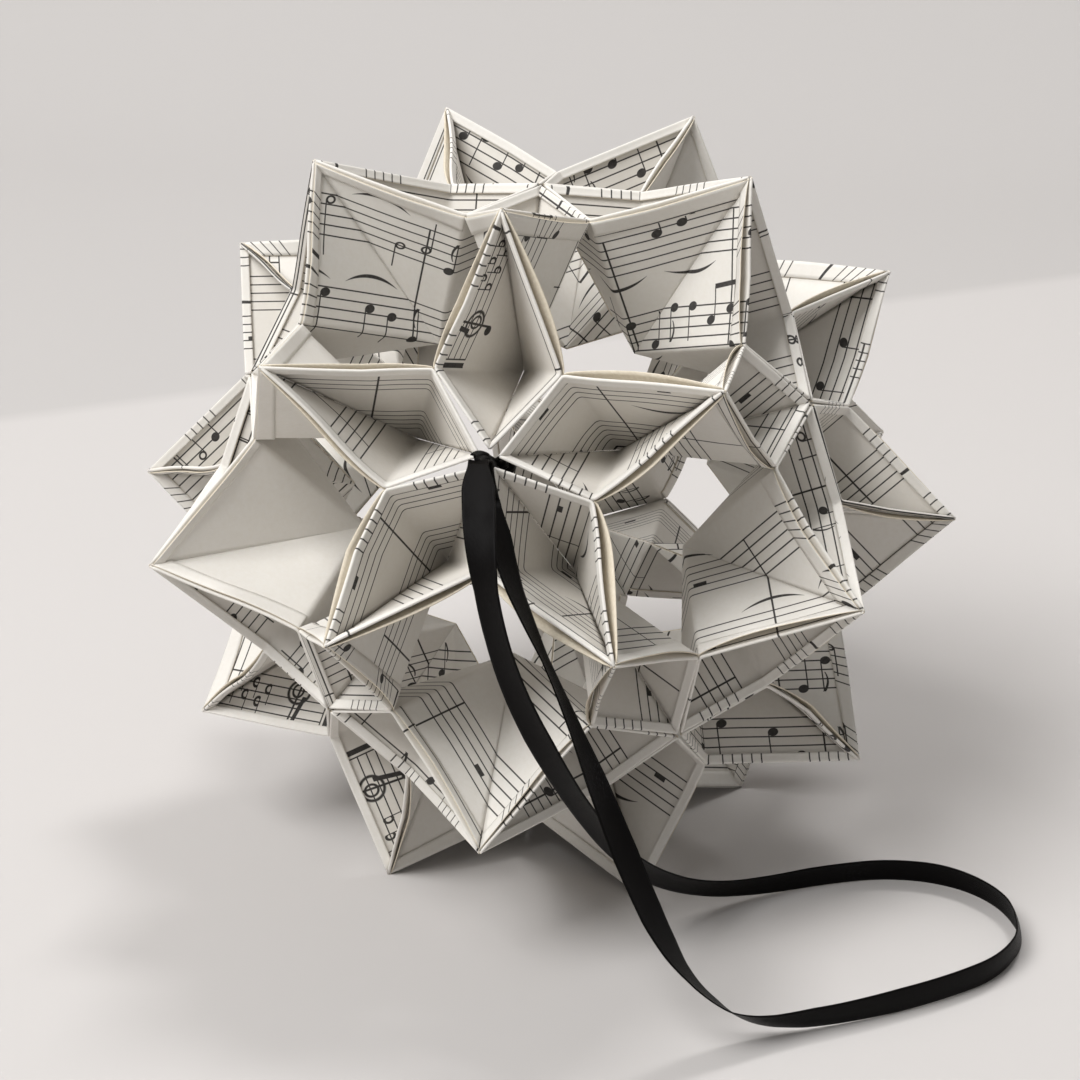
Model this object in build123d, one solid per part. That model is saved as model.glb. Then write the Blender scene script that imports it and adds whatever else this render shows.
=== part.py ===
"""Kusudama paper ball of thirty folded sheets, with a ribbon loop to hang it by.

Each sheet is a square folded into two open cups, back to back. Two opposite corners
of the square meet at the outer tip and its middle is the bottom of both cups. The
other two corners reach the middles of two flowers. Five cups round a five-fold axis
make one flower, and twelve flowers make the ball. The ball stands on five tips.
"""

from build123d import *
from math import atan, cos, degrees, radians, sin, sqrt, tan
import os

# The paper: one square sheet for each of the thirty tips
SHEET_SIDE = 65.0
WALL = 0.6
FLOWER_DEPTH = 19.6
CENTRE_HOLE = 1.9
GLUE_GAP = 0.1
RIDGE_LAP = 0.2
OVERRUN = 30.0

# The ribbon, its knot and the place where its two strands leave the front flower
RIBBON_WIDTH = 6.0
RIBBON_FACETS = 12
KNOT_DIAMETER = 7.0
KNOT_DEPTH = 11.5
NECK_DIAMETER = 2.2
NECK_RISE = 2.4
BEND_SHARE = 0.45

# Angles of the ball: twelve flowers stand as the corners of an icosahedron
TURN = 360.0
SIDES = 5
SECTOR = TURN / SIDES
HALF_SECTOR = SECTOR / 2
RING_RISE = degrees(atan(0.5))
FLOWER_TO_TIP = (TURN / 4 - RING_RISE) / 2
FRONT = -TURN / 4
ELBOW_TURN = 32.26

corner_reach = SHEET_SIDE / sqrt(2)
elbow_reach = corner_reach / 2


def ball_size():
    """Distance of the tips from the ball's middle, for cups folded to the elbow's turn.

    An elbow is half a sheet side from both the tip and the cup's bottom. It is turned by
    ELBOW_TURN round the line between them, and there it meets the plane between two
    petals of the flower, half a glue gap back. That only happens at one radius.
    """
    slope = tan(radians(HALF_SECTOR))
    lean = radians(FLOWER_TO_TIP)
    turned = radians(ELBOW_TURN)
    glue_back = GLUE_GAP / 2 / cos(radians(HALF_SECTOR))
    sideways = elbow_reach * (sin(turned) + cos(turned) * cos(lean) * slope)
    return elbow_reach + (sideways + glue_back) / (sin(lean) * slope)


ball_radius = ball_size()
flower_radius = ball_radius - FLOWER_DEPTH
floor_drop = ball_radius * cos(radians(FLOWER_TO_TIP)) + RIDGE_LAP * sin(radians(FLOWER_TO_TIP))
centre = Vector(0, 0, floor_drop)


def direction(azimuth, rise):
    """Unit vector at an azimuth about Z and a rise over the horizon, in degrees."""
    flat = cos(radians(rise))
    return Vector(flat * cos(radians(azimuth)), flat * sin(radians(azimuth)), sin(radians(rise)))


def flower_axes():
    """The twelve flower axes by name: top, five upper, five lower and bottom."""
    axes = {"top": Vector(0, 0, 1), "bottom": Vector(0, 0, -1)}
    for turn in range(SIDES):
        axes[f"upper_{turn + 1}"] = direction(FRONT + turn * SECTOR, RING_RISE)
        axes[f"lower_{turn + 1}"] = direction(FRONT + HALF_SECTOR + turn * SECTOR, -RING_RISE)
    return axes


def sheet_pairs():
    """Each sheet's name and the two flowers that it joins, from the top ring down."""
    pairs = {}
    for turn in range(SIDES):
        here = turn + 1
        after = (turn + 1) % SIDES + 1
        pairs[f"crown_sheet_{here}"] = ("top", f"upper_{here}")
        pairs[f"upper_sheet_{here}"] = (f"upper_{here}", f"upper_{after}")
        pairs[f"belt_sheet_{2 * here - 1}"] = (f"upper_{here}", f"lower_{here}")
        pairs[f"belt_sheet_{2 * here}"] = (f"lower_{here}", f"upper_{after}")
        pairs[f"lower_sheet_{here}"] = (f"lower_{here}", f"lower_{after}")
        pairs[f"foot_sheet_{here}"] = ("bottom", f"lower_{here}")
    return pairs


def elbow_point():
    """Corner of a cup's mouth halfway along a sheet edge, in the sheet's own frame."""
    turned = radians(ELBOW_TURN)
    return Vector(elbow_reach * cos(turned), elbow_reach * sin(turned), ball_radius - elbow_reach)


def inner_corner():
    """Where a cup's mouth ends beside the middle of its flower."""
    lean = radians(FLOWER_TO_TIP)
    on_axis = Vector(sin(lean), 0, cos(lean)) * flower_radius
    away = Vector(-cos(lean), 0, sin(lean)) * CENTRE_HOLE
    return on_axis + away


def closed_pyramid(bottom, rim):
    """Solid between a bottom point and a four-cornered rim that is not flat."""
    tip, left, inner, right = rim
    corners = [
        (bottom, tip, left),
        (bottom, left, inner),
        (bottom, inner, right),
        (bottom, right, tip),
        (tip, right, left),
        (left, right, inner),
    ]
    faces = [Face(Wire.make_polygon(three, close=True)) for three in corners]
    solid = Solid(Shell(faces))
    return solid if solid.volume > 0 else Solid(Shell([-face for face in faces]))


def paper_shift(bottom, rim):
    """Move that sets both kinds of wall back by the paper's thickness at once."""
    tip, left, inner, _ = rim
    outer_wall = (tip - bottom).cross(left - bottom).normalized()
    inner_wall = (left - bottom).cross(inner - bottom).normalized()
    middle = (tip + inner) * 0.5 - bottom
    if outer_wall.dot(middle) < 0:
        outer_wall = outer_wall * -1
    if inner_wall.dot(middle) < 0:
        inner_wall = inner_wall * -1
    across = outer_wall.X * inner_wall.Z - outer_wall.Z * inner_wall.X
    shift_x = WALL * (inner_wall.Z - outer_wall.Z) / across
    shift_z = WALL * (outer_wall.X - inner_wall.X) / across
    return Vector(shift_x, 0, shift_z)


def cup():
    """One open cup of paper, from the tip to the middle of a flower."""
    elbow = elbow_point()
    lap = Vector(-RIDGE_LAP, 0, 0)
    tip = Vector(0, 0, ball_radius) + lap
    bottom = Vector(0, 0, ball_radius - corner_reach) + lap
    rim = [tip, elbow, inner_corner(), Vector(elbow.X, -elbow.Y, elbow.Z)]
    shift = paper_shift(bottom, rim)
    hollow_bottom = bottom + shift
    stretch = 1 + OVERRUN / corner_reach
    hollow_rim = [hollow_bottom + (point - bottom) * stretch for point in rim]
    return closed_pyramid(bottom, rim) - closed_pyramid(hollow_bottom, hollow_rim)


def folded_sheet():
    """The sheet's two cups, back to back along the ridge under its tip."""
    near_cup = cup()
    return near_cup + near_cup.mirror(Plane.YZ)


def sheet_plane(axis_a, axis_b):
    """Frame of one sheet: X runs towards its first flower and Z out to its tip."""
    outward = (axis_a + axis_b).normalized()
    return Plane(origin=centre, x_dir=(axis_a - axis_b).normalized(), z_dir=outward)


def bend_radii(points):
    """Radius for each corner of a ribbon route, as wide as its two runs allow."""
    radii = []
    for before, here, after in zip(points, points[1:], points[2:]):
        run_in = here - before
        run_out = after - here
        half_turn = radians(run_in.get_angle(run_out)) / 2
        radii.append(BEND_SHARE * min(run_in.length, run_out.length) / tan(half_turn))
    return radii


# The ribbon's route, chosen by hand: out of the front flower, down in front of the ball,
# round on the table and back up. Each point is in shares of the height at which the
# ribbon leaves the ball, the last one counted up from a ribbon that lies on the table.
RIBBON_ROUTE_SHARES = [
    (-0.0048, -0.6499, 1.0163),
    (0.0143, -0.7557, 0.9898),
    (0.0343, -0.8348, 0.9123),
    (0.0572, -0.8672, 0.8034),
    (0.0915, -0.8634, 0.6769),
    (0.1382, -0.8233, 0.5395),
    (0.1906, -0.7471, 0.3875),
    (0.2478, -0.6480, 0.2403),
    (0.3145, -0.5241, 0.1128),
    (0.4002, -0.4145, 0.0353),
    (0.5003, -0.3278, 0.0039),
    (0.6146, -0.2630, 0.0020),
    (0.7385, -0.2154, 0.0010),
    (0.8672, -0.2249, 0.0020),
    (0.9682, -0.3030, 0.0010),
    (1.0044, -0.4279, 0.0020),
    (0.9625, -0.5489, 0.0010),
    (0.8672, -0.6385, 0.0020),
    (0.7481, -0.7185, 0.0010),
    (0.6289, -0.7843, 0.0020),
    (0.5194, -0.8367, 0.0157),
    (0.4336, -0.8748, 0.0883),
    (0.3621, -0.8986, 0.2109),
    (0.3002, -0.8958, 0.3581),
    (0.2335, -0.8557, 0.5052),
    (0.1668, -0.8024, 0.6327),
    (0.1048, -0.7681, 0.7505),
    (0.0553, -0.7395, 0.8535),
    (0.0143, -0.6347, 0.9378),
]


def gather_point():
    """Where the two strands of the ribbon come together in front of their flower."""
    return centre + flower_axes()["upper_1"] * (flower_radius + NECK_RISE)


def ribbon_route():
    """The route's points in place."""
    height = gather_point().Z
    lying = RIBBON_WIDTH / 2
    return [
        Vector(across * height, ahead * height, lying + up * (height - lying))
        for across, ahead, up in RIBBON_ROUTE_SHARES
    ]


def ribbon_solid():
    """The ribbon as a plain tube as thick as the ribbon is wide."""
    points = ribbon_route()
    radii = bend_radii(points)
    print("ribbon radii", [round(radius, 1) for radius in radii])
    path = FilletPolyline(*points, radius=radii)
    start = Plane(origin=points[0], z_dir=points[1] - points[0])
    section = RegularPolygon(RIBBON_WIDTH / 2, RIBBON_FACETS)
    tube = sweep(start * section, path=path)
    print("ribbon length", round(path.length, 1), "volume share", tube.volume / section.area / path.length)
    return tube


def gathered_strand(end, towards):
    """Short cone from the gathered ribbon at the flower to one end of the tube."""
    gather = gather_point()
    root = Plane(origin=gather, z_dir=end - gather) * RegularPolygon(NECK_DIAMETER / 2, RIBBON_FACETS)
    mouth = Plane(origin=end, z_dir=towards) * RegularPolygon(RIBBON_WIDTH / 2, RIBBON_FACETS)
    return loft([root, mouth], ruled=True)


def ribbon_knot():
    """Knot inside the front flower, its neck through the hole and both strands' roots."""
    outward = flower_axes()["upper_1"]
    seat = Plane(origin=centre + outward * (flower_radius - KNOT_DEPTH), z_dir=outward)
    knot = seat * Sphere(KNOT_DIAMETER / 2)
    upward = (Align.CENTER, Align.CENTER, Align.MIN)
    neck = seat * Cylinder(NECK_DIAMETER / 2, KNOT_DEPTH + NECK_RISE + NECK_DIAMETER / 4, align=upward)
    route = ribbon_route()
    leaving = gathered_strand(route[0], route[1] - route[0])
    returning = gathered_strand(route[-1], route[-2] - route[-1])
    return knot + neck + leaving + returning


def main():
    os.makedirs("parts", exist_ok=True)
    axes = flower_axes()
    sheet = folded_sheet()
    for name, (first, second) in sheet_pairs().items():
        placed = sheet_plane(axes[first], axes[second]).location * sheet
        export_step(placed, f"parts/{name}.step")
    export_step(ribbon_solid(), "parts/hanging_ribbon.step")
    export_step(ribbon_knot(), "parts/ribbon_knot.step")


main()
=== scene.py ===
"""Kusudama paper ball of thirty folded music sheets with a black satin ribbon loop.

Each sheet is a flat square, drawn as rays out of its middle. Round the middle of a cup
the rays turn through the folded corner angles, so every panel keeps its flat size, and
the flat place of each point is its print coordinate. So the printed staves bend over the
creases as they do on real paper. A narrow hem of each edge is turned over inwards.
"""

import math

import bpy
import numpy as np
from mathutils import Matrix, Vector


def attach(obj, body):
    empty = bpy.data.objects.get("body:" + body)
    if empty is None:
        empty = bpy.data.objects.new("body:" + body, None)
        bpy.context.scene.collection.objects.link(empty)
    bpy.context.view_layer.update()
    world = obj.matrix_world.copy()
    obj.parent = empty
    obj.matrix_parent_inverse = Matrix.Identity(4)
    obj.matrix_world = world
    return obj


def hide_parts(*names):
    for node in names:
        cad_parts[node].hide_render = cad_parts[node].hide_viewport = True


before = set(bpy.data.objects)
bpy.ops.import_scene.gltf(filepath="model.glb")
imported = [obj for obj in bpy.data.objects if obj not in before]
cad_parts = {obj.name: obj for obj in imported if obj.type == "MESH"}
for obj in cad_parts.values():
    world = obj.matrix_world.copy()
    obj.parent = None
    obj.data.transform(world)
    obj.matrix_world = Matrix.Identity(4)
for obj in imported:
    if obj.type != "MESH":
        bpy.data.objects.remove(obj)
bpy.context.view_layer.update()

# Sizes repeated from the part's source, in metres
SHEET_SIDE = 0.065
ELBOW_TURN = math.radians(32.26)
FLOWER_DEPTH = 0.0196
CENTRE_HOLE = 0.0019
GLUE_GAP = 0.0001
RIDGE_LAP = 0.0002
RIBBON_WIDTH = 0.006
KNOT_DEPTH = 0.0115
NECK_RISE = 0.0024
SIDES = 5
SECTOR = 2 * math.pi / SIDES
RING_RISE = math.atan(0.5)
FLOWER_TO_TIP = (math.pi / 2 - RING_RISE) / 2

corner_reach = SHEET_SIDE / math.sqrt(2)
elbow_reach = corner_reach / 2


def ball_size():
    """Distance of the tips from the ball's middle, worked out as in the part's source."""
    slope = math.tan(SECTOR / 2)
    glue_back = GLUE_GAP / 2 / math.cos(SECTOR / 2)
    lean = math.cos(FLOWER_TO_TIP) * slope
    sideways = elbow_reach * (math.sin(ELBOW_TURN) + math.cos(ELBOW_TURN) * lean)
    return elbow_reach + (sideways + glue_back) / (math.sin(FLOWER_TO_TIP) * slope)


ball_radius = ball_size()
flower_radius = ball_radius - FLOWER_DEPTH
floor_drop = ball_radius * math.cos(FLOWER_TO_TIP) + RIDGE_LAP * math.sin(FLOWER_TO_TIP)
centre = np.array([0, 0, floor_drop])

# The paper as it is drawn, in metres: the hole that closed flowers keep, the sheet's
# thickness, the width of a turned-in hem and the radius of its fold, the roundness of a
# crease, and the room between neighbouring rims, between halves and over the floor
CLOSED_HOLE = 0.0007
PAPER = 0.00022
HEM = 0.0016
HEM_ROUND = 0.00022
CREASE = 0.0009
RIM_BACK = 0.0003
SHEET_SHIFT = 0.00012
FLOOR_ROOM = PAPER * 0.6

# The flaps glued outside the cups, in metres: where they start below the rim, their gap to
# the wall and its least growth, and how much more loose ones stand off and widen
FLAP_START = 0.0001
FLAP_GAP = 0.0003
FLAP_LEAST = 0.0002
LOOSE_GAP = 0.0009
LOOSE_WIDTH = 1.3

# The ribbon as it is drawn, in metres: its thickness and its bow, the share of its width
# where it leaves the flower and how soon that widens, its gathered roots and the knot
SATIN = 0.00028
BOW = 0.00035
PINCH = 0.6
PINCH_REACH = 0.009
ROOT_WIDTH = 0.0022
ROOT_PLEAT = 0.0005
ROOT_PULL = 0.004
ROOT_FACING = (1, -0.2, 0.3)
KNOT_REACH = 0.0022
KNOT_TUBE = 0.0009

# The line on the floor where the photo's board ends: y is HORIZON + HORIZON_SLOPE * x
HORIZON = 0.3549
HORIZON_SLOPE = 0.6406
HORIZON_BLUR = 0.012


def direction(azimuth, rise):
    """Unit vector at an azimuth about z and a rise over the horizon, in radians."""
    flat = math.cos(rise)
    return np.array([flat * math.cos(azimuth), flat * math.sin(azimuth), math.sin(rise)])


def flower_axes():
    """The twelve flower axes by name: top, five upper, five lower and bottom."""
    axes = {"top": np.array([0, 0, 1.0]), "bottom": np.array([0, 0, -1.0])}
    for turn in range(SIDES):
        axes[f"upper_{turn + 1}"] = direction(-math.pi / 2 + turn * SECTOR, RING_RISE)
        axes[f"lower_{turn + 1}"] = direction(-math.pi / 2 + (turn + 0.5) * SECTOR, -RING_RISE)
    return axes


def sheet_pairs():
    """Each sheet's name and the two flowers that it joins."""
    pairs = {}
    for turn in range(SIDES):
        here = turn + 1
        after = (turn + 1) % SIDES + 1
        pairs[f"crown_sheet_{here}"] = ("top", f"upper_{here}")
        pairs[f"upper_sheet_{here}"] = (f"upper_{here}", f"upper_{after}")
        pairs[f"belt_sheet_{2 * here - 1}"] = (f"upper_{here}", f"lower_{here}")
        pairs[f"belt_sheet_{2 * here}"] = (f"lower_{here}", f"upper_{after}")
        pairs[f"lower_sheet_{here}"] = (f"lower_{here}", f"lower_{after}")
        pairs[f"foot_sheet_{here}"] = ("bottom", f"lower_{here}")
    return pairs


def unit(vectors):
    return vectors / np.maximum(np.linalg.norm(vectors, axis=-1, keepdims=True), 1e-12)


def cup_directions(hole):
    """Directions from a cup's bottom to its tip, its elbow and its flower end."""
    slope = math.tan(SECTOR / 2)
    height = ball_radius - elbow_reach
    side_on = math.cos(FLOWER_TO_TIP) * slope
    gap = RIM_BACK / 2 / math.cos(SECTOR / 2)
    sideways = math.sin(FLOWER_TO_TIP) * height * slope - gap
    angle = math.asin(sideways / (elbow_reach * math.hypot(1, side_on))) - math.atan(side_on)
    bottom = np.array([0, 0, ball_radius - corner_reach])
    elbow = np.array([elbow_reach * math.cos(angle), elbow_reach * math.sin(angle), height])
    axis = np.array([math.sin(FLOWER_TO_TIP), 0, math.cos(FLOWER_TO_TIP)])
    away = np.array([-math.cos(FLOWER_TO_TIP), 0, math.sin(FLOWER_TO_TIP)])
    flower_end = axis * flower_radius + away * hole
    return bottom, np.array([0, 0, 1.0]), unit(elbow - bottom), unit(flower_end - bottom)


# The flower with the ribbon stands open in its middle and the others are nearly closed
BOTTOM, TO_TIP, TO_ELBOW, TO_OPEN = cup_directions(CENTRE_HOLE)
TO_CLOSED = cup_directions(CLOSED_HOLE)[3]
OUTER_ANGLE = math.pi / 4

# Columns near the crease, in degrees off it, and rows in shares of a ray's length
CREASE_COLUMNS = np.array([-3.2, -2.2, -1.4, -0.7, 0, 0.7, 1.4, 2.2, 3.2])
WALL_ROWS = np.array(
    [0.0, 0.05, 0.1, 0.16, 0.23, 0.3, 0.38, 0.46, 0.54, 0.62, 0.7, 0.77, 0.84, 0.9]
)
RIM_ROWS = HEM * np.array([1.6, 1.0, 0.6, 0.25, 0.0])
HEM_BEND = np.radians([35, 75, 115, 155])
HEM_ROWS = HEM * np.array([0.1, 0.4, 0.75, 1.0])
FLAP_ROWS = (0.0, 0.2, 0.45, 0.75, 1.0)
EDGE_NORMAL = np.array([math.cos(OUTER_ANGLE), math.sin(OUTER_ANGLE)])

# First of the three material slots of a wall and of a flap: outer face, inner face, edge
WALL_SLOT, FLAP_SLOT = 0, 3


def between(start, end, share):
    """Directions on the great circle from start to end."""
    whole = math.acos(float(np.clip(start @ end, -1, 1)))
    share = np.asarray(share)[..., None]
    return (np.sin((1 - share) * whole) * start + np.sin(share * whole) * end) / math.sin(whole)


def ray_directions(turn, to_flower, inner_angle):
    """Direction of a ray whose flat angle from the tip's corner is turn."""
    outer = between(TO_TIP, TO_ELBOW, turn / OUTER_ANGLE)
    inner = between(TO_ELBOW, to_flower, (turn - OUTER_ANGLE) / inner_angle)
    return np.where((turn < OUTER_ANGLE)[..., None], outer, inner)


def ray_grid(inner_angle):
    """Flat angle and length of each ray, and how far out its rows lie."""
    outer = np.linspace(0, 45, 25)[:-2]
    inner = np.linspace(49, 45 + math.degrees(inner_angle), 15)
    turns = np.radians(np.concatenate([outer, 45 + CREASE_COLUMNS, inner]))
    edge = SHEET_SIDE / 2 / np.cos(OUTER_ANGLE - turns)
    lengths = np.vstack([WALL_ROWS[:, None] * edge, edge - RIM_ROWS[:, None]])
    return turns, edge, np.sort(lengths, axis=0)


def wall_surface(lengths, turns, to_flower, inner_angle):
    """Points along the rays, with a rounded crease between the two flat panels.

    Near the crease the ray's direction is a quadratic curve from the one panel to the
    other, and the curve is as wide as CREASE at every distance from the cup's bottom.
    """
    turn = np.broadcast_to(turns, lengths.shape)
    width = np.clip(CREASE / np.maximum(lengths, 0.002), 0, 0.12)
    near = np.abs(turn - OUTER_ANGLE) < width
    step = np.where(near, (turn - OUTER_ANGLE + width) / (2 * width), 0)[..., None]
    before = ray_directions(np.maximum(OUTER_ANGLE - width, 0), to_flower, inner_angle)
    after = ray_directions(OUTER_ANGLE + width, to_flower, inner_angle)
    rounded = (1 - step) ** 2 * before + 2 * step * (1 - step) * TO_ELBOW + step**2 * after
    ray = ray_directions(turn, to_flower, inner_angle)
    return BOTTOM + np.where(near[..., None], rounded, ray) * lengths[..., None]


def wall_normals(base, to_flower):
    """Normals of a wall that point into its cup."""
    normal = unit(np.cross(np.gradient(base, axis=0), np.gradient(base, axis=1)))
    normal[0] = normal[1]
    middle = BOTTOM + (TO_TIP + to_flower) * corner_reach * 0.4
    return normal * np.sign(np.sum(normal * (middle - base), axis=-1, keepdims=True))


def wall_swell(turns, share, inner_angle, tent, growth, dent, wave):
    """How far a wall stands out: a soft tent on its outer panel, a dent on its inner one."""
    turn = np.broadcast_to(turns, share.shape)
    outer = np.clip(turn / OUTER_ANGLE, 0, 1)
    inner = np.clip((turn - OUTER_ANGLE) / inner_angle, 0, 1)
    tented = (1 - np.abs(2 * outer - 1)) * share * (tent + growth * share)
    dented = np.sin(math.pi * inner) * share * (1 - share) * dent * 3
    return tented + dented + np.sin(2 * math.pi * outer) * share * wave


def rows_back(lengths, edge, back):
    """Row below a distance back from the edge on each ray, and the share past that row."""
    numbers = np.arange(len(lengths))
    part = [np.interp(end - step, ray, numbers) for end, step, ray in zip(edge, back, lengths.T)]
    low = np.floor(part).astype(int).clip(0, len(lengths) - 2)
    return low, (np.array(part) - low)[:, None]


def between_rows(grid, low, mix, column):
    """Points of a grid's columns that lie between two of its rows."""
    return grid[low, column] * (1 - mix) + grid[low + 1, column] * mix


def half_cup(noise, flap_widths, to_flower):
    """One half of a cup: grids of points with their flat places and material slots.

    The first grid is the wall. Its rows run out along each ray to the sheet's edge, round
    the fold of the hem and back in along its inner side, and its columns run from the
    tip's ray to the flower's ray. The second grid is the flap outside the outer panel,
    which stands off the wall by a sine of the ray's turn and closes towards its end.
    """
    *dents, hem_lift, flap_flare = noise
    inner_angle = math.acos(float(TO_ELBOW @ to_flower))
    turns, edge, lengths = ray_grid(inner_angle)
    base = wall_surface(lengths, turns, to_flower, inner_angle)
    normal = wall_normals(base, to_flower)
    swell = wall_swell(turns, lengths / edge, inner_angle, *dents)
    base = base - normal * swell[..., None]
    heading = np.stack([np.sin(turns), np.cos(turns)], axis=-1)
    flat = lengths[..., None] * heading
    column = np.arange(len(turns))

    rim, inward, outward = base[-1], normal[-1], unit(base[-1] - base[-3])
    points, places = [*base], [*flat]
    for angle in HEM_BEND:
        bend = outward * math.sin(angle) + inward * (1 - math.cos(angle))
        points.append(rim + bend * HEM_ROUND)
        places.append(flat[-1] + EDGE_NORMAL * HEM_ROUND * angle)
    for back in HEM_ROWS:
        low, mix = rows_back(lengths, edge, back / np.cos(OUTER_ANGLE - turns))
        lift = 2 * HEM_ROUND + hem_lift * (back / HEM) ** 2
        points.append(between_rows(base, low, mix, column) + inward * lift)
        places.append(between_rows(flat, low, mix, column) + 2 * back * EDGE_NORMAL)
    wall = (np.array(points), np.array(places), WALL_SLOT)

    outer = column[turns <= OUTER_ANGLE + 1e-9]
    share = turns[outer] / OUTER_ANGLE
    width = flap_widths[0] + (flap_widths[1] - flap_widths[0]) * share
    flare = np.sin(math.pi * share) ** 0.7 * max(flap_flare, FLAP_LEAST)
    points, places = [], []
    for part in FLAP_ROWS:
        back = FLAP_START + part * width
        low, mix = rows_back(lengths, edge, back / np.cos(OUTER_ANGLE - turns[outer]))
        gap = (FLAP_GAP + flare * (1 - part))[:, None]
        points.append(between_rows(base, low, mix, outer) - normal[low, outer] * gap)
        places.append(flat[-1, outer] + (2 * HEM + back)[:, None] * EDGE_NORMAL)
    return wall, (np.array(points), np.array(places), FLAP_SLOT)


def print_place(flat, quarter, start, mirrored):
    """Place on the printed page, in millimetres, of a flat place on the sheet.

    The page lies square to the sheet's edges, turned by a number of quarters and moved.
    On the outside of a cup the page is mirrored, because it is seen from behind.
    """
    u = (flat[..., 0] + flat[..., 1]) / math.sqrt(2) * 1000
    v = (flat[..., 1] - flat[..., 0]) / math.sqrt(2) * (-1000 if mirrored else 1000)
    turn = quarter * math.pi / 2
    x = math.cos(turn) * u + math.sin(turn) * v
    y = math.cos(turn) * v - math.sin(turn) * u
    return np.stack([x + start[0], y + start[1]], axis=-1)


def grid_faces(rows, columns, start=0, flip=False):
    """Quads of a grid of vertices that begins at a number."""
    index = start + np.arange(rows * columns).reshape(rows, columns)
    corners = [index[:-1, :-1], index[1:, :-1], index[1:, 1:], index[:-1, 1:]]
    quads = np.stack(corners, axis=-1).reshape(-1, 4)
    return quads[:, ::-1] if flip else quads


def add_places(mesh, name, places):
    """UV map that gives every corner its vertex's place."""
    layer = mesh.uv_layers.new(name=name)
    loops = np.empty(len(mesh.loops), np.int32)
    mesh.loops.foreach_get("vertex_index", loops)
    layer.data.foreach_set("uv", places[loops].astype(np.float32).ravel())


def mesh_object(name, points, quads, places=None):
    """Smooth-shaded mesh in the scene, with its places as the page's UV map."""
    mesh = bpy.data.meshes.new(name)
    mesh.from_pydata(points.tolist(), [], quads.tolist())
    if places is not None:
        add_places(mesh, "page", places)
    mesh.polygons.foreach_set("use_smooth", np.full(len(mesh.polygons), True))
    mesh.update()
    made = bpy.data.objects.new(name, mesh)
    bpy.context.scene.collection.objects.link(made)
    return made


def plug(tree, slot, value):
    """Link what comes out of a node, or set a plain value."""
    if isinstance(value, Node):
        tree.links.new(value.socket, slot)
    elif isinstance(value, bpy.types.NodeSocket):
        tree.links.new(value, slot)
    else:
        slot.default_value = value


def add_node(tree, kind, inputs, **settings):
    """New node of a kind: its settings first, then its sockets' values or links."""
    node = tree.nodes.new("ShaderNode" + kind)
    for setting, value in settings.items():
        setattr(node, setting, value)
    for slot, value in inputs.items():
        plug(tree, node.inputs[slot], value)
    return node


class Node:
    """A number in a material, so that formulas read as formulas."""

    tree = None

    def __init__(self, socket):
        self.socket = socket

    @classmethod
    def math(cls, operation, *inputs, clamp=False):
        slots = dict(enumerate(inputs))
        node = add_node(cls.tree, "Math", slots, operation=operation, use_clamp=clamp)
        return cls(node.outputs[0])

    def __add__(self, other):
        return Node.math("ADD", self, other)

    __radd__ = __add__

    def __sub__(self, other):
        return Node.math("SUBTRACT", self, other)

    def __rsub__(self, other):
        return Node.math("SUBTRACT", other, self)

    def __mul__(self, other):
        return Node.math("MULTIPLY", self, other)

    __rmul__ = __mul__

    def __truediv__(self, other):
        return Node.math("DIVIDE", self, other)

    def above(self, other):
        return Node.math("GREATER_THAN", self, other)

    def below(self, other):
        return Node.math("LESS_THAN", self, other)

    def size(self):
        return Node.math("ABSOLUTE", self)

    def floor(self):
        return Node.math("FLOOR", self)

    def wrap(self, period):
        return Node.math("FLOORED_MODULO", self, period)

    def most(self, other):
        return Node.math("MAXIMUM", self, other)

    def clamped(self):
        return Node.math("MULTIPLY", self, 1.0, clamp=True)


def soft_step(distance, width, blur):
    """One where distance is under width, zero where it is over, soft between."""
    return Node.math("DIVIDE", width + blur / 2 - distance, blur, clamp=True)


def length_of(x, y):
    return Node.math("SQRT", x * x + y * y)


def random_at(x, y, channel):
    """Random number from nought to one that is the same for the same three numbers."""
    join = add_node(Node.tree, "CombineXYZ", {0: x, 1: y, 2: channel})
    noise = add_node(Node.tree, "TexWhiteNoise", {0: join.outputs[0]}, noise_dimensions="3D")
    return Node(noise.outputs["Value"])


# The printed page, in millimetres: two staves to a system, all of it made up. Along x it
# has a key signature, then notes, then bars of rests, then bare staves, then notes again.
LINE_STEP = 2.05
HALF_STEP = LINE_STEP / 2
STAFF = 4 * LINE_STEP
SYSTEM = 39.0
FIRST_RISE = 6.0
STAFF_PITCH = 18.5
PAGE_WIDTH = 300.0
PAGE_MARGIN = -2.2
PAGE_SYSTEMS = 6
MUSIC_FROM = 27.0
RESTS_FROM = 70.0
SPARSE_FROM = 140.0
NOTES_FROM = 210.0
BAR = 27.0
BAR_SHIFT = 5.3
CELL = 5.4
SPAN = 3 * CELL
DOT_STEP = 1.4
DOT_RUN = 18.0
LINE = 0.15
INK_BLUR = 0.09
CLEF_AT = 7.6
CLEF_SIZE = 1.25
FLATS_AT = 14.6
FLAT_STEP = 1.75
PLAYED = 0.3
STEM_AT = 1.0
STEM = 6.9
BEAM_RISE = STAFF + 3.4

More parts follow.
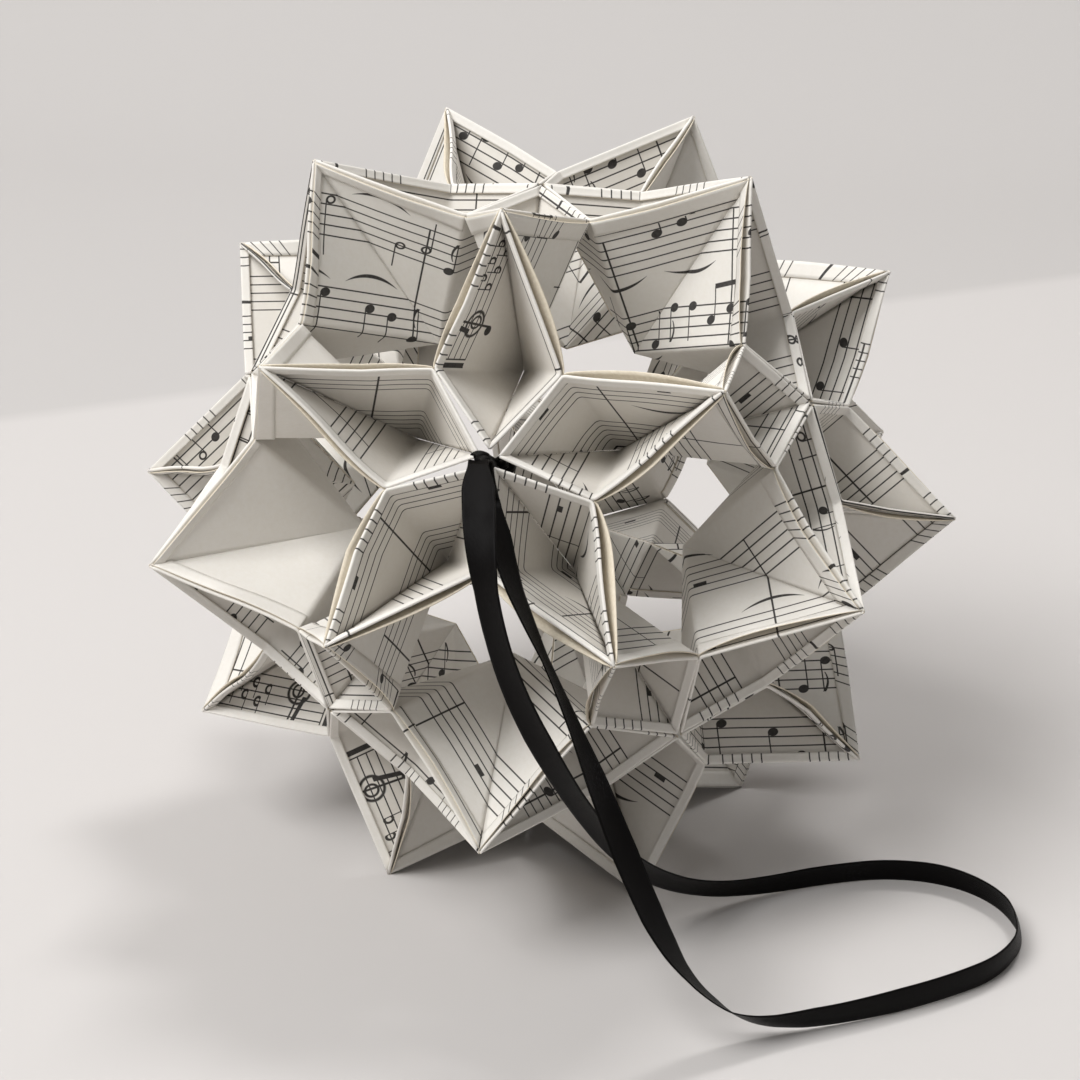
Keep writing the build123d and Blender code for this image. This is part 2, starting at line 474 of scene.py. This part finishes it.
# Colours of the ink, of the paper with its light tone first, of the satin with its dark
# tone first, and of the stage, and the steps of the satin's threads in millimetres
INK = (0.012, 0.010, 0.010, 1)
FIBRE_TONE = (0.62, 0.57, 0.48, 1)
INSIDE_TONES = (0.77, 0.74, 0.695, 1), (0.68, 0.65, 0.60, 1)
OUTSIDE_TONES = (0.785, 0.76, 0.72, 1), (0.70, 0.675, 0.63, 1)
SATIN_TONES = (0.0016, 0.0014, 0.0014, 1), (0.0045, 0.0037, 0.0036, 1)
SATIN_GLINT = (0.055, 0.055, 0.06, 1)
WARP_STEP = 0.16
WEFT_STEP = 0.22
BOARD_TONE = (0.525, 0.503, 0.489, 1)
WALL_TONE = (0.46, 0.442, 0.43, 1)

# Channels of the random numbers that the print draws
PLAY, BEAM, PITCH, HOLLOW, FLAG = 1.0, 2.0, 3.0, 5.0, 6.0
REST, SLUR, DOTS, DASH = 7.0, 8.0, 9.0, 10.0


def stroke(distance, half):
    """Ink within half a line's width of where a distance is nought."""
    return soft_step(distance.size(), half, INK_BLUR)


def between_values(value, low, high):
    return value.above(low) * value.below(high)


def ellipse(x, y, wide, high):
    """Distance from the middle, in shares of the ellipse's own size."""
    return length_of(x / wide, y / high)


def ring(x, y, wide, high, weight):
    """Ink along an ellipse."""
    return soft_step((ellipse(x, y, wide, high) - 1).size(), weight / wide, 0.1)


def clef_ink(x, y):
    """A generic G clef: a curl on the second line, a thick swash, a loop and a ball."""
    curl = ring(x, y - 0.3, 2.1, 2.1, 0.26)
    inner = ring(x - 0.3, y - 0.1, 1.0, 1.15, 0.2)
    stem = stroke(x - y * 0.09, 0.2) * between_values(y, -4.4, 8.6)
    loop = ring(x - 0.25, y - 8.4, 1.05, 2.3, 0.2)
    swash = stroke(x + 1.55 - y * 0.2, 0.42) * between_values(y, 1.0, 7.0)
    ball = soft_step(ellipse(x + 1.0, y + 4.2, 0.85, 0.85), 1.0, 0.15)
    return curl.most(inner).most(stem).most(loop).most(swash).most(ball)


def flats_ink(x, rise):
    """Six flats, high and low in turn, each a thin stem with a small open bowl."""
    place = (x / FLAT_STEP).floor()
    across = x - place * FLAT_STEP - 0.6
    level = place.wrap(2) * 3 + 3 - (place / 2).floor()
    y = rise - level * HALF_STEP
    stem = stroke(across + 0.5, 0.13) * between_values(y, -1.0, 3.6)
    bowl = ring(across + 0.05, y, 0.72, 0.95, 0.24) * across.above(-0.5)
    return stem.most(bowl) * between_values(place, -0.5, 5.5)


def notes_ink(x, rise, staff):
    """Notes in cells along a staff: heads, stems, flags, and beams over pairs."""
    cell = (x / CELL).floor()
    pair = (cell / 2).floor()
    in_cell = x - cell * CELL - CELL / 2
    played = random_at(cell, staff, PLAY).above(PLAYED)
    beamed = random_at(pair, staff, BEAM).above(0.55)
    pitch = (random_at(cell, staff, PITCH) * 9.0).floor() * HALF_STEP
    tilt = rise - pitch
    head = ellipse(in_cell * 0.94 + tilt * 0.34, tilt * 0.94 - in_cell * 0.34, 1.16, 0.88)
    hollow = soft_step(head, 0.55, 0.12) * random_at(cell, staff, HOLLOW).above(0.8)
    ink = soft_step(head, 1.0, 0.1) * (1 - hollow) * played

    way = 1 - pitch.above(STAFF * 0.55) * (1 - beamed) * 2
    beam_rise = (in_cell + (cell - pair * 2) * CELL) * 0.1 + BEAM_RISE
    reach = tilt * way
    tall = (beam_rise - pitch) * beamed + (1 - beamed) * STEM
    off_stem = in_cell - way * STEM_AT
    ink = ink.most(stroke(off_stem, 0.15) * reach.above(0) * reach.below(tall) * played)

    fall = tall - reach
    curve = off_stem - fall * 0.78 + fall * fall * 0.15
    flag = soft_step(curve.size(), 0.34 - fall * 0.05, 0.12) * between_values(fall, 0, 4.3)
    ink = ink.most(flag * random_at(cell, staff, FLAG).above(0.5) * (1 - beamed) * played)

    first = random_at(pair * 2, staff, PLAY).above(PLAYED)
    both = first * random_at(pair * 2 + 1, staff, PLAY).above(PLAYED)
    off_middle = (x - pair * (2 * CELL) - CELL - STEM_AT).size()
    beam = stroke(rise - beam_rise, 0.5) * soft_step(off_middle, CELL / 2 + 0.1, 0.1)
    return ink.most(beam * beamed * both)


def page_ink(x, y):
    """How much ink lies at a place on the page."""
    system = (y / SYSTEM).floor()
    in_system = y.wrap(SYSTEM)
    second = in_system.above(SYSTEM / 2)
    rise = in_system - FIRST_RISE - second * STAFF_PITCH
    staff = system * 2 + second
    step = ((rise + HALF_STEP).wrap(LINE_STEP) - HALF_STEP).size()
    on_staff = soft_step((rise - STAFF / 2).size(), STAFF / 2 + 0.25, 0.1)
    ink = stroke(step, LINE) * on_staff * x.above(0)

    top = FIRST_RISE + STAFF_PITCH + STAFF
    in_height = between_values(in_system, FIRST_RISE - 0.1, top + 0.1)
    bar_at = (x + system * BAR_SHIFT).wrap(BAR) - BAR / 2
    ink = ink.most(stroke(bar_at, 0.2) * in_height * x.above(MUSIC_FROM - 1))
    ink = ink.most(stroke(x, 0.16).most(stroke(x + 1.3, 0.6)) * in_height)
    clef = clef_ink((x - CLEF_AT) / CLEF_SIZE, (rise - LINE_STEP) / CLEF_SIZE)
    ink = ink.most(clef).most(flats_ink(x - FLATS_AT, rise))

    sparse = between_values(x, SPARSE_FROM, NOTES_FROM)
    resting = between_values(x, RESTS_FROM, NOTES_FROM)
    left_out = sparse * random_at((x / BAR).floor(), staff, REST).above(0.3)
    rest = stroke(BAR / 2 - bar_at.size(), 1.35) * stroke(rise - 2.75 * LINE_STEP, 0.5)
    ink = ink.most(rest * resting * (1 - left_out))
    ink = ink.most(notes_ink(x, rise, staff) * x.above(MUSIC_FROM) * (1 - resting))

    span = (x / SPAN).floor()
    in_span = x - span * SPAN - SPAN / 2
    bow = 1 - in_span * in_span / 42.0
    slur = soft_step((rise + 1.6 + bow * 1.9).size(), bow * 0.38, 0.12) * bow.above(0.05)
    slurred = random_at(span, staff, SLUR).above(0.5) * x.above(MUSIC_FROM)
    ink = ink.most(slur * slurred * (1 - sparse))
    dots = soft_step(length_of(x.wrap(DOT_STEP) - DOT_STEP / 2, rise + 6.4), 0.3, 0.1)
    dotted = random_at((x / DOT_RUN).floor(), staff, DOTS).above(0.4)
    ink = ink.most(dots * dotted * (1 - sparse))
    dash = stroke(in_span, 0.9) * stroke(rise + 6.6, 0.2)
    ink = ink.most(dash * random_at(span, staff, DASH).above(0.6) * x.above(0))
    on_page = between_values(x, PAGE_MARGIN, PAGE_WIDTH)
    return ink * on_page * between_values(y, 0, PAGE_SYSTEMS * SYSTEM)


def new_material(name, roughness, specular=0.5):
    """Material with one shader, whose plain values are set on its own sockets."""
    material = bpy.data.materials.new(name)
    material.use_nodes = True
    tree = material.node_tree
    tree.nodes.clear()
    plain = {"Roughness": roughness, "Specular IOR Level": specular}
    shader = add_node(tree, "BsdfPrincipled", plain)
    add_node(tree, "OutputMaterial", {"Surface": shader.outputs[0]})
    Node.tree = tree
    return material, tree, shader


def mix_colours(tree, amount, first, second):
    slots = {0: amount, 6: first, 7: second}
    return add_node(tree, "Mix", slots, data_type="RGBA").outputs[2]


def noise_value(tree, vector, scale, detail, rough=0.5):
    slots = {"Vector": vector, "Scale": scale, "Detail": detail, "Roughness": rough}
    return Node(add_node(tree, "TexNoise", slots).outputs["Fac"])


def object_place(tree):
    return add_node(tree, "TexCoord", {}).outputs["Object"]


def split_parts(tree, vector):
    return [Node(part) for part in add_node(tree, "SeparateXYZ", {0: vector}).outputs]


def rough_surface(tree, shader, height, strength, distance):
    """Bump from a height, in metres of distance."""
    slots = {"Strength": strength, "Distance": distance, "Height": height}
    plug(tree, shader.inputs["Normal"], add_node(tree, "Bump", slots).outputs[0])


def paper_material(name, layer, light, dark):
    """Uncoated printed paper: a cloudy tone, fine fibres and ink that sits in them."""
    material, tree, shader = new_material(name, 0.72, 0.25)
    page = add_node(tree, "UVMap", {}, uv_map=layer).outputs[0]
    x, y, _ = split_parts(tree, page)
    place = object_place(tree)
    clouds = noise_value(tree, place, 38.0, 3.0)
    fibres = noise_value(tree, place, 900.0, 4.0, 0.6)
    worn = noise_value(tree, place, 1500.0, 2.0)
    colour = mix_colours(tree, clouds, dark, light)
    colour = mix_colours(tree, (fibres - 0.5) * 0.5 + 0.12, colour, FIBRE_TONE)
    colour = mix_colours(tree, page_ink(x, y) * (0.99 - worn * 0.08), colour, INK)
    plug(tree, shader.inputs["Base Color"], colour)
    rough_surface(tree, shader, fibres, 0.25, 0.00012)
    return material


def edge_and_gap_shade_material():
    """Cut edges yellower than the page, and painted shade on the glued layers' faces to the
    wall.
    """
    material, tree, shader = new_material("paper_cut_edge_and_painted_gap_shade", 0.85)
    fibres = noise_value(tree, object_place(tree), 1400.0, 3.0)
    # A darker, yellower tone: on the flaps' faces towards the wall it is painted shade in the
    # gap
    colour = mix_colours(tree, fibres, (0.58, 0.50, 0.38, 1), (0.78, 0.72, 0.60, 1))
    plug(tree, shader.inputs["Base Color"], colour)
    return material


def satin_material():
    """Black satin: threads both ways, streaks along it and patches of slanted glints."""
    material, tree, shader = new_material("black_satin", 0.4, 0.06)
    page = add_node(tree, "UVMap", {}, uv_map="page").outputs[0]
    across, along, _ = split_parts(tree, page)
    warp = Node.math("SINE", across * (2 * math.pi / WARP_STEP))
    weft = Node.math("SINE", along * (2 * math.pi / WEFT_STEP))
    stretched = add_node(tree, "Mapping", {0: page, "Scale": (7.0, 0.8, 1.0)})
    streak = noise_value(tree, stretched.outputs[0], 1.0, 3.0)
    slant = (0, 0, math.radians(32))
    slanted = add_node(tree, "Mapping", {0: page, "Rotation": slant, "Scale": (6.5, 1.5, 1.0)})
    floats = noise_value(tree, slanted.outputs[0], 1.0, 1.0)
    patches = noise_value(tree, page, 0.045, 1.0)
    glint = ((floats - 0.58) * 5.0).clamped() * ((patches - 0.56) * 7.0).clamped()
    colour = mix_colours(tree, streak, *SATIN_TONES)
    colour = mix_colours(tree, glint * 0.8, colour, SATIN_GLINT)
    plug(tree, shader.inputs["Base Color"], colour)
    plug(tree, shader.inputs["Roughness"], streak * 0.2 + 0.3)
    rough_surface(tree, shader, warp * 0.5 + weft * 0.35 + streak * 1.6, 0.35, 0.00005)
    return material


def stage_material():
    """Matt pale board: lighter in front of a line on the floor and greyer behind it."""
    material, tree, shader = new_material("pale_stage", 0.9, 0.15)
    x, y, z = split_parts(tree, object_place(tree))
    behind = Node.math("DIVIDE", y - x * HORIZON_SLOPE - HORIZON, HORIZON_BLUR, clamp=True)
    colour = mix_colours(tree, behind.most(z.above(0.001)), BOARD_TONE, WALL_TONE)
    plug(tree, shader.inputs["Base Color"], colour)
    return material


# The camera as fitted to the photo: its frame's angle, its place and its three directions
VIEW_ANGLE = math.radians(24.75)
CAMERA_PLACE = (0.07906, -0.48130, 0.26356)
CAMERA_RIGHT = (0.98674, 0.16232, -0.00111)
CAMERA_UP = (-0.06063, 0.37488, 0.92509)
CAMERA_BACK = (0.15057, -0.91275, 0.37975)


def place_camera():
    camera = bpy.data.cameras.new("camera")
    camera.sensor_width = 36.0
    camera.lens = 36.0 / 2 / math.tan(VIEW_ANGLE / 2)
    camera.clip_start = 0.01
    camera.clip_end = 20
    made = bpy.data.objects.new("camera", camera)
    bpy.context.scene.collection.objects.link(made)
    turn = Matrix((CAMERA_RIGHT, CAMERA_UP, CAMERA_BACK)).transposed().to_4x4()
    made.matrix_world = Matrix.Translation(CAMERA_PLACE) @ turn
    bpy.context.scene.camera = made


# Points that steer the ribbon, from the flower round over the floor and back
RIBBON_ROUTE = [
    (-0.0005, -0.0682, 0.1066),
    (0.0015, -0.0793, 0.1039),
    (0.0036, -0.0876, 0.0960),
    (0.0060, -0.0910, 0.0849),
    (0.0096, -0.0906, 0.0720),
    (0.0145, -0.0864, 0.0580),
    (0.0200, -0.0784, 0.0425),
    (0.0260, -0.0680, 0.0275),
    (0.0330, -0.0550, 0.0145),
    (0.0420, -0.0435, 0.0066),
    (0.0525, -0.0344, 0.0034),
    (0.0645, -0.0276, 0.0032),
    (0.0775, -0.0226, 0.0031),
    (0.0910, -0.0236, 0.0032),
    (0.1016, -0.0318, 0.0031),
    (0.1054, -0.0449, 0.0032),
    (0.1010, -0.0576, 0.0031),
    (0.0910, -0.0670, 0.0032),
    (0.0785, -0.0754, 0.0031),
    (0.0660, -0.0823, 0.0032),
    (0.0545, -0.0878, 0.0046),
    (0.0455, -0.0918, 0.0120),
    (0.0380, -0.0943, 0.0245),
    (0.0315, -0.0940, 0.0395),
    (0.0245, -0.0898, 0.0545),
    (0.0175, -0.0842, 0.0675),
    (0.0110, -0.0806, 0.0795),
    (0.0058, -0.0776, 0.0900),
    (0.0015, -0.0666, 0.0986),
]


def ribbon_line():
    """Points along the smooth line that the ribbon's route points steer."""
    curve = bpy.data.curves.new("ribbon_route", "CURVE")
    curve.dimensions = "3D"
    spline = curve.splines.new("NURBS")
    spline.points.add(len(RIBBON_ROUTE) - 1)
    for point, place in zip(spline.points, RIBBON_ROUTE):
        point.co = (*place, 1)
    spline.order_u = 3
    spline.use_endpoint_u = True
    spline.resolution_u = 14
    carrier = bpy.data.objects.new("ribbon_route", curve)
    mesh = bpy.data.meshes.new_from_object(carrier)
    line = np.array([vertex.co for vertex in mesh.vertices], float)
    bpy.data.meshes.remove(mesh)
    bpy.data.objects.remove(carrier)
    bpy.data.curves.remove(curve)
    return line


# The way that the ribbon's flat side faces, by share of its length
RIBBON_FACING = [
    (0.007, (0.06, -0.26, 0.96)),
    (0.033, (0.08, -0.49, 0.87)),
    (0.051, (-0.28, -0.79, 0.54)),
    (0.072, (-0.58, -0.81, 0.11)),
    (0.097, (-0.53, -0.84, -0.13)),
    (0.152, (-0.23, -0.88, -0.42)),
    (0.188, (-0.26, -0.81, -0.53)),
    (0.226, (-0.18, -0.77, -0.61)),
    (0.260, (-0.00, -0.74, -0.67)),
    (0.297, (0.27, -0.72, -0.64)),
    (0.395, (0.45, -0.83, -0.34)),
    (0.438, (0.20, -0.92, -0.33)),
    (0.470, (-0.23, -0.92, -0.31)),
    (0.497, (-0.65, -0.69, -0.33)),
    (0.519, (-0.90, -0.36, -0.24)),
    (0.538, (-0.97, -0.02, -0.25)),
    (0.556, (-0.95, 0.31, 0.06)),
    (0.580, (-0.78, 0.61, 0.13)),
    (0.636, (-0.53, 0.83, 0.18)),
    (0.683, (-0.39, 0.83, 0.39)),
    (0.698, (-0.28, 0.77, 0.57)),
    (0.709, (-0.07, 0.72, 0.69)),
    (0.719, (0.19, 0.61, 0.77)),
    (0.730, (0.50, 0.42, 0.76)),
    (0.744, (0.70, 0.30, 0.65)),
    (0.758, (0.84, 0.12, 0.54)),
    (0.773, (0.87, -0.20, 0.44)),
    (0.793, (0.81, -0.46, 0.36)),
    (0.824, (0.72, -0.54, 0.43)),
    (0.858, (0.79, -0.34, 0.51)),
    (0.883, (0.87, -0.06, 0.49)),
    (0.907, (0.89, 0.09, 0.45)),
    (0.920, (0.89, 0.12, 0.44)),
    (0.939, (0.88, -0.05, 0.47)),
    (0.963, (0.79, -0.22, 0.57)),
    (0.979, (0.70, -0.29, 0.66)),
    (1.000, (0.55, -0.37, 0.75)),
]


def lengths_along(line):
    """Distance from the line's start to each of its points."""
    return np.concatenate([[0], np.cumsum(np.linalg.norm(np.diff(line, axis=0), axis=1))])


def flat_strip(line, facing, width, gathers=0.0):
    """Flat ribbon along a line: its points, quads and places across and along it.

    A point is the line's own point, plus its share across times half the width sideways,
    plus a bow that grows with the square of that share and pleats that are its cosine.
    """
    along = lengths_along(line)
    tangent = unit(np.gradient(line, axis=0))
    shares = [key for key, _ in facing]
    ways = np.array([way for _, way in facing], float)
    wanted = np.stack([np.interp(along / along[-1], shares, way) for way in ways.T], axis=-1)
    face = unit(wanted - tangent * np.sum(wanted * tangent, axis=-1, keepdims=True))
    side = unit(np.cross(face, tangent))[:, None, :]
    face = face[:, None, :]
    across = np.linspace(-1, 1, 13)[None, :, None]
    width = np.broadcast_to(width, along.shape)[:, None, None]
    reach = across * (width / 2) * side
    bow = (across**2 - 0.4) * (BOW * width / RIBBON_WIDTH) * face
    pleats = np.cos(across * math.pi * 3) * (gathers * (1 - width / RIBBON_WIDTH)) * face
    points = line[:, None, :] + reach + bow + pleats
    whole = points.shape[:2]
    places = [np.broadcast_to(across[..., 0] * 3, whole)]
    places.append(np.broadcast_to(along[:, None] * 1000, whole))
    places = np.stack(places, axis=-1)
    return points.reshape(-1, 3), grid_faces(*whole), places.reshape(-1, 2)


def thicken(piece, thickness, rim_slot=0, back_slot=0):
    solid = piece.modifiers.new("paper", "SOLIDIFY")
    solid.thickness = thickness
    solid.offset = 0
    solid.use_even_offset = False
    solid.material_offset = back_slot
    solid.material_offset_rim = rim_slot


def finish_piece(piece, node):
    """Tie a piece to the ball's body, in place of a node of the CAD model."""
    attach(piece, "root")
    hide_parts(node)


# Parts of the page along x: notes, bars of rests, bare staves and nothing at all
NOTES, RESTS, BARE, PLAIN = 250, 105, 175, -200

# Where the page lies on the sheets that the front shows: quarters turned, x and y
PRINT_INSIDE = {
    "crown_sheet_1": (0, -2.0, -17.2),
    "upper_sheet_5": (1, BARE, 78.8),
    "upper_sheet_1": (2, RESTS, 78.8),
    "lower_sheet_1": (3, NOTES, 22.0),
    "belt_sheet_10": (1, BARE, 39.8),
    "belt_sheet_1": (3, RESTS, 45.0),
    "upper_sheet_2": (3, NOTES, 21.0),
    "lower_sheet_4": (0, -3.5, -15.9),
    "foot_sheet_5": (3, -6.6, 37.1),
    "foot_sheet_1": (1, RESTS, 59.0),
    "belt_sheet_3": (3, BARE, 64.0),
    "belt_sheet_8": (1, NOTES, 39.8),
    "crown_sheet_3": (2, NOTES, 78.8),
    "crown_sheet_4": (3, NOTES, 60.0),
}
PRINT_OUTSIDE = {
    "crown_sheet_1": (1, NOTES, 31.7),
    "crown_sheet_2": (3, NOTES, 44.6),
    "crown_sheet_5": (2, NOTES, 32.5),
    "belt_sheet_2": (0, RESTS, 38.0),
    "belt_sheet_9": (0, PLAIN, 0.0),
    "lower_sheet_5": (0, BARE, 28.0),
    "belt_sheet_10": (0, BARE, 59.0),
    "belt_sheet_3": (3, RESTS, 39.0),
    "upper_sheet_5": (0, PLAIN, 0.0),
    "foot_sheet_1": (0, PLAIN, 0.0),
    "foot_sheet_5": (0, PLAIN, 0.0),
    "crown_sheet_3": (0, PLAIN, 0.0),
}


# Sheets whose outer layers stand well apart in the photo
LOOSE = {
    "upper_sheet_1",
    "belt_sheet_1",
    "belt_sheet_10",
    "crown_sheet_1",
    "crown_sheet_2",
    "belt_sheet_2",
}

# How the halves of the cups differ, in metres. First the spread of, and then the middle
# of: the tent and how it grows outwards, the dent, the wave, the hem's lift and the
# flap's flare. Last the least and most width of a flap at the tip and at the elbow.
SPREADS = [0.0002, 0.00045, 0.00035, 0.00018, 0.00008, 0.0003]
MIDDLES = [0.0001, 0.0002, 0.0, 0.0, 0.00025, 0.0007]
LEAST_WIDTHS, MOST_WIDTHS = [0.0016, 0.0016], [0.0036, 0.0042]


def draw_prints(draw, name):
    """Where the page lies on a sheet's inside and outside, drawn where nothing is set."""
    prints = []
    for table in (PRINT_INSIDE, PRINT_OUTSIDE):
        quarter = int(draw.integers(0, 4))
        part = (NOTES, RESTS, BARE)[int(draw.integers(0, 3))]
        prints.append(table.get(name, (quarter, part, draw.uniform(40, 190))))
    return prints


def draw_folds(draw, loose):
    """Numbers that make one half of a cup differ: its dents and its flap's widths."""
    noise = draw.normal(size=6) * SPREADS
    noise += MIDDLES
    widths = draw.uniform(LEAST_WIDTHS, MOST_WIDTHS) * (LOOSE_WIDTH if loose else 1)
    noise[5] += LOOSE_GAP if loose else 0
    return noise, widths


def sheet_grids(draw, loose, axis_a, axis_b, near_first, near_second):
    """The grids of a sheet's four half cups, with flat places, slots and their turn."""
    outward = unit(axis_a + axis_b)
    axis_y = np.cross(outward, unit(axis_a - axis_b))
    for along, to_flower in ((1, near_first), (-1, near_second)):
        axis_x = unit(axis_a - axis_b) * along
        for side in (1, -1):
            noise, widths = draw_folds(draw, loose)
            for grid, flat, slot in half_cup(noise, widths, to_flower):
                grid = grid + np.array([0, SHEET_SHIFT, 0])
                world = centre + grid[..., :1] * axis_x + grid[..., 1:2] * axis_y * side
                world = world + grid[..., 2:] * outward
                world[..., 2] = np.maximum(world[..., 2], FLOOR_ROOM)
                yield world, flat * np.array([along, side]), slot, along * side < 0


def make_sheet(draw, name, first, second):
    """Mesh of one sheet: two cups back to back, their hems and the flaps outside them."""
    axes = flower_axes()
    prints = draw_prints(draw, name)
    open_or_closed = [TO_OPEN if way == "upper_1" else TO_CLOSED for way in (first, second)]
    points, places, reverse, quads, slots, start = [], [], [], [], [], 0
    grids = sheet_grids(draw, name in LOOSE, axes[first], axes[second], *open_or_closed)
    for world, flat, slot, flip in grids:
        points.append(world.reshape(-1, 3))
        flat = flat.reshape(-1, 2)
        for page, (quarter, *corner), mirrored in zip((places, reverse), prints, (False, True)):
            page.append(print_place(flat, quarter, corner, mirrored))
        faces = grid_faces(*world.shape[:2], start, flip)
        quads.append(faces)
        slots.append(np.full(len(faces), slot))
        start += len(flat)
    points, quads = np.concatenate(points), np.concatenate(quads)
    piece = mesh_object(f"paper_{name}", points, quads, np.concatenate(places))
    add_places(piece.data, "reverse", np.concatenate(reverse))
    slots = np.concatenate(slots).astype(np.int32)
    piece.data.polygons.foreach_set("material_index", slots)
    piece.data.set_sharp_from_angle(angle=math.radians(50))
    return piece


def make_sheets():
    """The thirty sheets of printed paper."""
    inside = paper_material("music_paper", "page", *INSIDE_TONES)
    outside = paper_material("music_paper_outside", "reverse", *OUTSIDE_TONES)
    edge = edge_and_gap_shade_material()
    draw = np.random.default_rng(11)
    for name, (first, second) in sheet_pairs().items():
        piece = make_sheet(draw, name, first, second)
        # Slot 3, the flap's face towards the wall, takes the edge tone as painted shade in the
        # gap
        for material in (outside, inside, edge, edge, outside, edge):
            piece.data.materials.append(material)
        thicken(piece, PAPER, 2, 1)
        finish_piece(piece, name)


def loop_width(line):
    """Width along the loop, which widens from its pinched ends by a smooth cubic step."""
    along = lengths_along(line)
    share = np.clip(np.minimum(along, along[-1] - along) / PINCH_REACH, 0, 1)
    return RIBBON_WIDTH * (PINCH + (1 - PINCH) * share * share * (3 - 2 * share))


def knot_tube(seat):
    """Overhand knot with a round tube along its line.

    The line has three lobes: sine plus twice the sine of the double turn, cosine minus
    twice the cosine of the double turn, and minus the sine of the triple turn.
    """
    turn = np.linspace(0, 2 * math.pi, 97)[:-1]
    x = np.sin(turn) + 2 * np.sin(2 * turn)
    y = np.cos(turn) - 2 * np.cos(2 * turn)
    line = np.stack([x, y, -np.sin(3 * turn)], axis=-1) * KNOT_REACH / 3
    tangent = unit(np.roll(line, -1, axis=0) - np.roll(line, 1, axis=0))
    side = unit(np.cross(tangent, np.array([0, 0, 1.0])))
    rise = np.cross(side, tangent)[:, None]
    round_it = np.linspace(0, 2 * math.pi, 13)
    ring_points = np.cos(round_it)[:, None] * side[:, None] + np.sin(round_it)[:, None] * rise
    points = seat + line[:, None] + ring_points * KNOT_TUBE
    points = np.concatenate([points, points[:1]])
    places = np.meshgrid([*turn, 2 * math.pi], round_it, indexing="ij")
    places = np.stack(places[::-1], axis=-1)
    return points.reshape(-1, 3), grid_faces(*points.shape[:2]), places.reshape(-1, 2)


def root_strip(seat, gather, end, inner):
    """Gathered root of the ribbon, from the knot up to the hole and out to one end."""
    share = np.linspace(0, 1, 12)[:, None]
    pull = end + unit(end - inner) * ROOT_PULL
    bend = gather * 0.5 + pull * 0.5
    strand = (1 - share) ** 2 * gather + 2 * share * (1 - share) * bend + share**2 * end
    rise = seat + (gather - seat) * np.linspace(0, 0.9, 6)[:, None]
    facing = [(0, ROOT_FACING), (1, RIBBON_FACING[-1][1])]
    widening = np.concatenate([np.zeros(6), share[:, 0] ** 1.5])
    width = ROOT_WIDTH + (RIBBON_WIDTH * PINCH - ROOT_WIDTH) * widening
    return flat_strip(np.concatenate([rise, strand]), facing, width, ROOT_PLEAT)


def make_ribbon():
    """The ribbon loop, and the knot and gathered roots that hold it in its flower."""
    satin = satin_material()
    line = ribbon_line()
    loop = mesh_object("ribbon_loop", *flat_strip(line, RIBBON_FACING, loop_width(line)))

    outward = flower_axes()["upper_1"]
    gather = centre + outward * (flower_radius + NECK_RISE * 0.2)
    seat = centre + outward * (flower_radius - KNOT_DEPTH)
    strips = [
        knot_tube(seat),
        root_strip(seat, gather, line[0], line[3]),
        root_strip(seat, gather, line[-1], line[-4]),
    ]
    points, quads, places = zip(*strips)
    starts = np.cumsum([0] + [len(strip) for strip in points[:-1]])
    quads = [faces + start for faces, start in zip(quads, starts)]
    joined = [np.concatenate(parts) for parts in (points, quads, places)]
    roots = mesh_object("ribbon_roots", *joined)
    for piece, node in ((loop, "hanging_ribbon"), (roots, "ribbon_knot")):
        piece.data.materials.append(satin)
        thicken(piece, SATIN)
        finish_piece(piece, node)
    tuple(RIBBON_ROUTE[0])


# The stage in metres: its front, its sides, where it starts to curve up and how tall it is
STAGE_FRONT, STAGE_SIDE, STAGE_BEND, STAGE_HEIGHT = -1.6, 2.4, 0.55, 2.4
BEND_RADIUS = 0.35

# Each light: its place, the point that it faces, its size in metres and its power in watts
WINDOW = (-1.05, -1.0, 1.98), (0, 0, 0.06), 1.3, 63.0
LAMP = (0.25, 0.85, 2.0), (0, 0, 0.05), 0.5, 28.0
SKY_TONE = (1.0, 0.995, 0.985, 1)
SKY_STRENGTH = 0.3


def make_stage():
    """Pale floor that curves up into a backdrop."""
    profile = [(STAGE_FRONT, 0.0), (STAGE_BEND, 0.0)]
    for angle in np.linspace(0, math.pi / 2, 14)[1:]:
        back = STAGE_BEND + BEND_RADIUS * math.sin(angle)
        profile.append((back, BEND_RADIUS * (1 - math.cos(angle))))
    profile.append((STAGE_BEND + BEND_RADIUS, STAGE_HEIGHT))
    across = np.linspace(-STAGE_SIDE, STAGE_SIDE, 5)
    points = np.array([[x, y, z] for y, z in profile for x in across])
    floor = mesh_object("floor", points, grid_faces(len(profile), len(across), flip=True))
    floor.data.materials.append(stage_material())


def area_light(name, place, target, size, power):
    light = bpy.data.lights.new(name, "AREA")
    light.shape = "SQUARE"
    light.size = size
    light.energy = power
    made = bpy.data.objects.new(name, light)
    bpy.context.scene.collection.objects.link(made)
    made.location = place
    facing = Vector(target) - Vector(place)
    made.rotation_euler = facing.to_track_quat("-Z", "Y").to_euler()


def make_light():
    """A window from the left front, a lamp from behind and an even pale sky."""
    area_light("window", *WINDOW)
    area_light("lamp", *LAMP)
    world = bpy.data.worlds.new("studio")
    world.use_nodes = True
    sky = world.node_tree.nodes["Background"]
    sky.inputs["Color"].default_value = SKY_TONE
    sky.inputs["Strength"].default_value = SKY_STRENGTH
    bpy.context.scene.world = world
    bpy.context.scene.view_settings.view_transform = "Standard"


place_camera()
make_ribbon()
make_sheets()
make_stage()
make_light()
